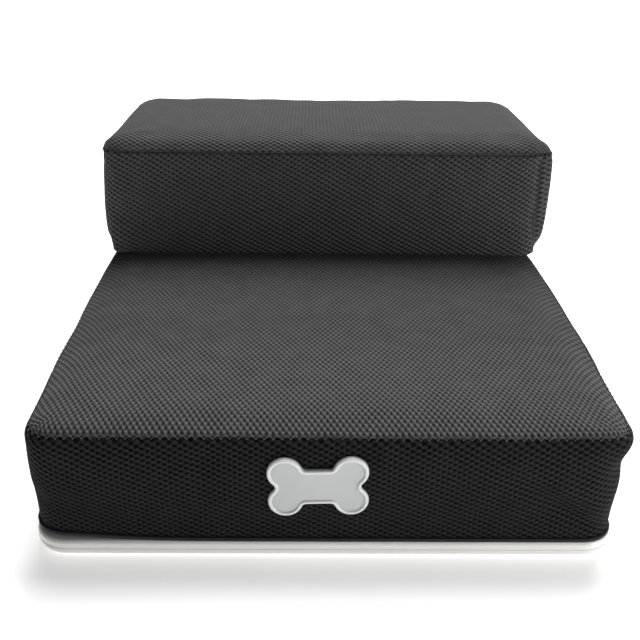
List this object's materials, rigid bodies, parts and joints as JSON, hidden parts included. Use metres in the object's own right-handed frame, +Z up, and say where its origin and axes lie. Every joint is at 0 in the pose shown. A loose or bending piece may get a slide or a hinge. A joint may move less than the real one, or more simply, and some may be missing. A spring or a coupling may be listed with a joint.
{
  "type": "folding pet stair",
  "caption": "Low two-step folding stair for small dogs: mesh-covered cushion boxes over hinged boards that fold flat, on a white moulded base tray.",
  "frame": {"origin": "on the floor under the middle of the base tray (bottom centre of the whole object)", "axes": "+Z up, -Y towards the front with the lower step's badge, +X to the right seen from the front"},
  "size_m": [0.416, 0.5434, 0.2114],
  "materials": {
    "mesh_cloth": "matte",
    "hem_cloth": "matte",
    "white_tray": "gloss",
    "rubber_pad": "matte",
    "board": "matte",
    "hinge_steel": "satin",
    "foam": "matte",
    "fastening_tape": "matte",
    "badge": "satin",
    "badge_edge": "satin",
    "zip_tape": "matte",
    "zip_coil": "satin",
    "zip_metal": "satin"
  },
  "bodies": {
    "base": {"base_tray": "white_tray", "foot_pads": "rubber_pad", "lower_base_board": "board", "lower_base_hinge_pins": "hinge_steel", "hem_binding": "hem_cloth", "lower_cover_walls": "mesh_cloth", "bone_badge": "badge", "badge_rim": "badge_edge", "zipper_tape": "zip_tape", "zipper_coil": "zip_coil", "zipper_stops": "zip_metal"},
    "lower_rear_low": {"lower_rear_wall_low": "board", "lower_rear_waist_pin": "hinge_steel"},
    "lower_rear_high": {"lower_rear_wall_high": "board"},
    "lower_top": {"lower_top_board": "board", "lower_top_hinge_pins": "hinge_steel", "lower_foam_pad": "foam", "lower_cover_top": "mesh_cloth", "loop_strips": "fastening_tape", "hook_strips": "fastening_tape", "upper_base_board": "board", "upper_base_hinge_pins": "hinge_steel", "upper_cover_walls": "mesh_cloth", "upper_corner_welts": "mesh_cloth"},
    "lower_front_low": {"lower_front_wall_low": "board", "lower_front_waist_pin": "hinge_steel"},
    "lower_front_high": {"lower_front_wall_high": "board"},
    "lower_left_side": {"lower_left_flap": "board"},
    "lower_right_side": {"lower_right_flap": "board"},
    "upper_rear_low": {"upper_rear_wall_low": "board", "upper_rear_waist_pin": "hinge_steel"},
    "upper_rear_high": {"upper_rear_wall_high": "board"},
    "upper_top": {"upper_top_board": "board", "upper_top_hinge_pins": "hinge_steel", "upper_foam_pad": "foam", "upper_cover_top": "mesh_cloth"},
    "upper_front_low": {"upper_front_wall_low": "board", "upper_front_waist_pin": "hinge_steel"},
    "upper_front_high": {"upper_front_wall_high": "board"},
    "upper_left_side": {"upper_left_flap": "board"},
    "upper_right_side": {"upper_right_flap": "board"},
    "zip_slider": {"zipper_slider": "zip_metal"},
    "zip_tab": {"pull_tab": "zip_metal"}
  },
  "joints": [
    {"name": "lower_fold", "type": "hinge", "parent": "base", "child": "lower_rear_low", "pos_m": [0, 0.2534, 0.0121], "axis": [1, 0, 0], "range_deg": [0, 90], "deforming": ["lower_cover_walls", "bone_badge", "badge_rim"]},
    {"name": "lower_rear_waist", "type": "hinge", "parent": "lower_rear_low", "child": "lower_rear_high", "pos_m": [0, 0.2574, 0.0455], "axis": [-1, 0, 0], "range_deg": [0, 180]},
    {"name": "lower_rear_top", "type": "hinge", "parent": "lower_rear_high", "child": "lower_top", "pos_m": [0, 0.2534, 0.0789], "axis": [1, 0, 0], "range_deg": [0, 90]},
    {"name": "lower_front_foot", "type": "hinge", "parent": "base", "child": "lower_front_low", "pos_m": [0, -0.2534, 0.0121], "axis": [-1, 0, 0], "range_deg": [0, 90]},
    {"name": "lower_front_waist", "type": "hinge", "parent": "lower_front_low", "child": "lower_front_high", "pos_m": [0, -0.2574, 0.0455], "axis": [1, 0, 0], "range_deg": [0, 180]},
    {"name": "lower_left_hang", "type": "hinge", "parent": "lower_top", "child": "lower_left_side", "pos_m": [-0.186, 0, 0.0789], "axis": [0, -1, 0], "range_deg": [0, 90]},
    {"name": "lower_right_hang", "type": "hinge", "parent": "lower_top", "child": "lower_right_side", "pos_m": [0.186, 0, 0.0789], "axis": [0, 1, 0], "range_deg": [0, 90]},
    {"name": "upper_fold", "type": "hinge", "parent": "lower_top", "child": "upper_rear_low", "pos_m": [0, 0.2534, 0.1081], "axis": [1, 0, 0], "range_deg": [0, 90], "deforming": ["upper_cover_walls", "upper_corner_welts"]},
    {"name": "upper_rear_waist", "type": "hinge", "parent": "upper_rear_low", "child": "upper_rear_high", "pos_m": [0, 0.2574, 0.1465], "axis": [-1, 0, 0], "range_deg": [0, 180]},
    {"name": "upper_rear_top", "type": "hinge", "parent": "upper_rear_high", "child": "upper_top", "pos_m": [0, 0.2534, 0.1849], "axis": [1, 0, 0], "range_deg": [0, 90]},
    {"name": "upper_front_foot", "type": "hinge", "parent": "lower_top", "child": "upper_front_low", "pos_m": [0, 0.0486, 0.1081], "axis": [-1, 0, 0], "range_deg": [0, 90]},
    {"name": "upper_front_waist", "type": "hinge", "parent": "upper_front_low", "child": "upper_front_high", "pos_m": [0, 0.0446, 0.1465], "axis": [1, 0, 0], "range_deg": [0, 180]},
    {"name": "upper_left_hang", "type": "hinge", "parent": "upper_top", "child": "upper_left_side", "pos_m": [-0.186, 0.151, 0.1849], "axis": [0, -1, 0], "range_deg": [0, 90]},
    {"name": "upper_right_hang", "type": "hinge", "parent": "upper_top", "child": "upper_right_side", "pos_m": [0.186, 0.151, 0.1849], "axis": [0, 1, 0], "range_deg": [0, 90]},
    {"name": "zipper_slide", "type": "slide", "parent": "base", "child": "zip_slider", "axis": [1, 0, 0], "range_m": [0, 0.31]},
    {"name": "tab_swing", "type": "hinge", "parent": "zip_slider", "child": "zip_tab", "pos_m": [-0.155, 0.272, 0.023], "axis": [0, 0, 1], "range_deg": [0, 165]}
  ],
  "couplings": [
    {"joint": "lower_rear_waist", "follows": "lower_fold", "ratio": 2},
    {"joint": "lower_rear_top", "follows": "lower_fold", "ratio": 1},
    {"joint": "lower_front_foot", "follows": "lower_fold", "ratio": 1},
    {"joint": "lower_front_waist", "follows": "lower_fold", "ratio": 2},
    {"joint": "lower_left_hang", "follows": "lower_fold", "ratio": 1},
    {"joint": "lower_right_hang", "follows": "lower_fold", "ratio": 1},
    {"joint": "upper_rear_waist", "follows": "upper_fold", "ratio": 2},
    {"joint": "upper_rear_top", "follows": "upper_fold", "ratio": 1},
    {"joint": "upper_front_foot", "follows": "upper_fold", "ratio": 1},
    {"joint": "upper_front_waist", "follows": "upper_fold", "ratio": 2},
    {"joint": "upper_left_hang", "follows": "upper_fold", "ratio": 1},
    {"joint": "upper_right_hang", "follows": "upper_fold", "ratio": 1}
  ]
}
